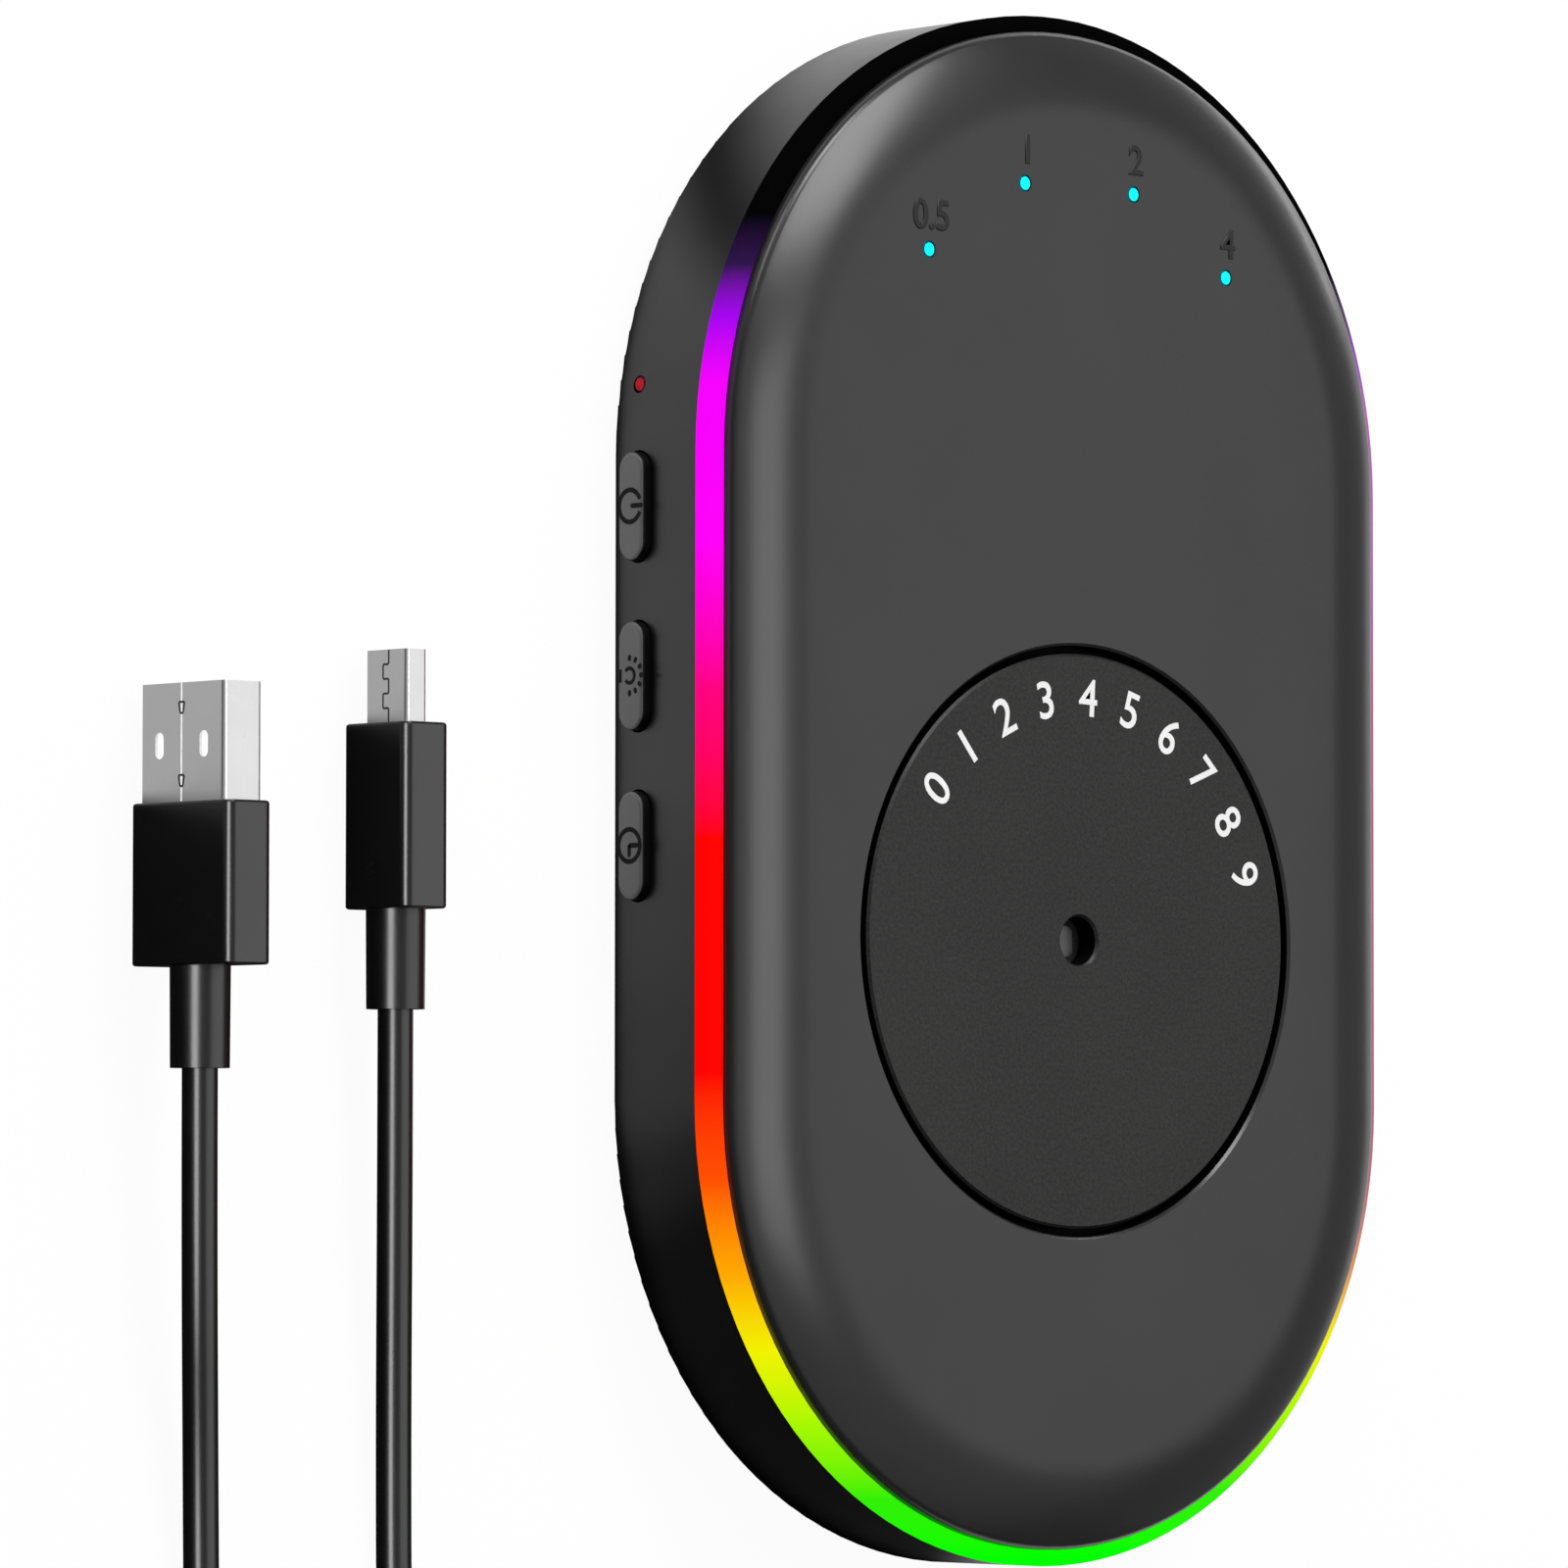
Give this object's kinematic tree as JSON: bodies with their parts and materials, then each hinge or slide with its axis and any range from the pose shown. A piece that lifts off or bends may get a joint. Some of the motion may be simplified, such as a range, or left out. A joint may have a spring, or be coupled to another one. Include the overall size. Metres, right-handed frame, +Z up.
{
  "type": "mouse jiggler",
  "caption": "Oval desk turntable that keeps a computer mouse awake: turning disc in a soft-edged cover, lit rim band, side keys, gear motor inside, and a coiled charging cable beside it.",
  "frame": {"origin": "on the table under the middle of the case, at the bottom of the rubber feet", "axes": "+Z up, +Y along the case towards the time lamps and the charging socket, -X is the wall with the keys; the loose cable lies on the -X side"},
  "size_m": [0.1557, 0.2239, 0.0181],
  "materials": {
    "case_plastic": "satin moulded",
    "cover_plastic": "satin moulded",
    "disc_plastic": "fine matt texture",
    "ring_diffuser": "smoked diffuser, lit from behind",
    "key_plastic": "satin moulded",
    "gear_plastic": "moulded acetal",
    "gearbox_plastic": "moulded",
    "inner_plastic": "moulded",
    "pin_steel": "ground",
    "screw_steel": "zinc plated",
    "can_steel": "pressed",
    "bearing_brass": "turned",
    "contact_brass": "gilt",
    "board_laminate": "solder mask",
    "strip_laminate": "white solder mask",
    "can_aluminium": "drawn",
    "lamp_resin": "moulded lamp",
    "guide_clear": "clear moulded",
    "foot_rubber": "matt",
    "plug_plastic": "gloss moulded",
    "cord_rubber": "satin",
    "plug_steel": "nickel plated",
    "tongue_plastic": "moulded",
    "small_tongue_plastic": "moulded"
  },
  "bodies": {
    "case": {"bottom_shell": "case_plastic", "light_ring": "ring_diffuser", "top_cover": "cover_plastic", "lamp_strip": "strip_laminate", "ring_lamps": "lamp_resin", "gear_axles": "pin_steel", "gearbox_base": "gearbox_plastic", "gearbox_top": "gearbox_plastic", "output_bush": "bearing_brass", "gearbox_screws": "screw_steel", "motor_case": "can_steel", "motor_screws": "screw_steel", "motor_leads": "cord_rubber", "main_board": "board_laminate", "board_screws": "screw_steel", "control_chip": "inner_plastic", "driver_chip": "inner_plastic", "capacitors": "can_aluminium", "crystal": "can_steel", "motor_socket": "tongue_plastic", "usb_socket": "plug_steel", "usb_socket_tongue": "inner_plastic", "time_lamps": "lamp_resin", "time_lights": "guide_clear", "status_lamp": "lamp_resin", "status_light": "guide_clear", "case_screws": "screw_steel", "rubber_feet": "foot_rubber", "usb_a_shell": "plug_steel", "usb_a_tongue": "tongue_plastic", "usb_a_contacts": "contact_brass", "usb_a_overmould": "plug_plastic", "usb_a_relief": "cord_rubber", "small_shell": "plug_steel", "small_tongue": "small_tongue_plastic", "small_overmould": "plug_plastic", "small_relief": "cord_rubber", "cord_a": "cord_rubber", "cord_b": "cord_rubber", "cord_coil": "cord_rubber", "cord_tie": "cord_rubber", "power_switch": "inner_plastic", "light_switch": "inner_plastic", "timer_switch": "inner_plastic"},
    "turntable": {"turntable_disc": "disc_plastic", "output_shaft": "pin_steel", "output_gear": "gear_plastic"},
    "idler_b": {"idler_gear_b": "gear_plastic"},
    "idler_a": {"idler_gear_a": "gear_plastic"},
    "rotor": {"motor_shaft": "pin_steel", "motor_pinion": "bearing_brass"},
    "power_key": {"power_button": "key_plastic", "power_plunger": "lamp_resin"},
    "light_key": {"light_button": "key_plastic", "light_plunger": "lamp_resin"},
    "timer_key": {"timer_button": "key_plastic", "timer_plunger": "lamp_resin"}
  },
  "joints": [
    {"name": "turntable_spin", "type": "hinge", "parent": "case", "child": "turntable", "pos_m": [0, -0.0148, 0.01], "axis": [0, 0, 1], "continuous": true},
    {"name": "idler_b_spin", "type": "hinge", "parent": "case", "child": "idler_b", "pos_m": [0, -0.0298, 0.01], "axis": [0, 0, 1], "continuous": true},
    {"name": "idler_a_spin", "type": "hinge", "parent": "case", "child": "idler_a", "pos_m": [0, -0.0428, 0.01], "axis": [0, 0, 1], "continuous": true},
    {"name": "motor_spin", "type": "hinge", "parent": "case", "child": "rotor", "pos_m": [0, -0.0558, 0.01], "axis": [0, 0, 1], "continuous": true},
    {"name": "power_press", "type": "slide", "parent": "case", "child": "power_key", "axis": [1, 0, 0], "range_m": [0, 0.0004], "stiffness_N_per_m": 800},
    {"name": "light_press", "type": "slide", "parent": "case", "child": "light_key", "axis": [1, 0, 0], "range_m": [0, 0.0004], "stiffness_N_per_m": 800},
    {"name": "timer_press", "type": "slide", "parent": "case", "child": "timer_key", "axis": [1, 0, 0], "range_m": [0, 0.0004], "stiffness_N_per_m": 800}
  ],
  "couplings": [
    {"joint": "idler_b_spin", "follows": "turntable_spin", "ratio": -4},
    {"joint": "idler_a_spin", "follows": "turntable_spin", "ratio": 13.333},
    {"joint": "motor_spin", "follows": "turntable_spin", "ratio": -44.444}
  ]
}
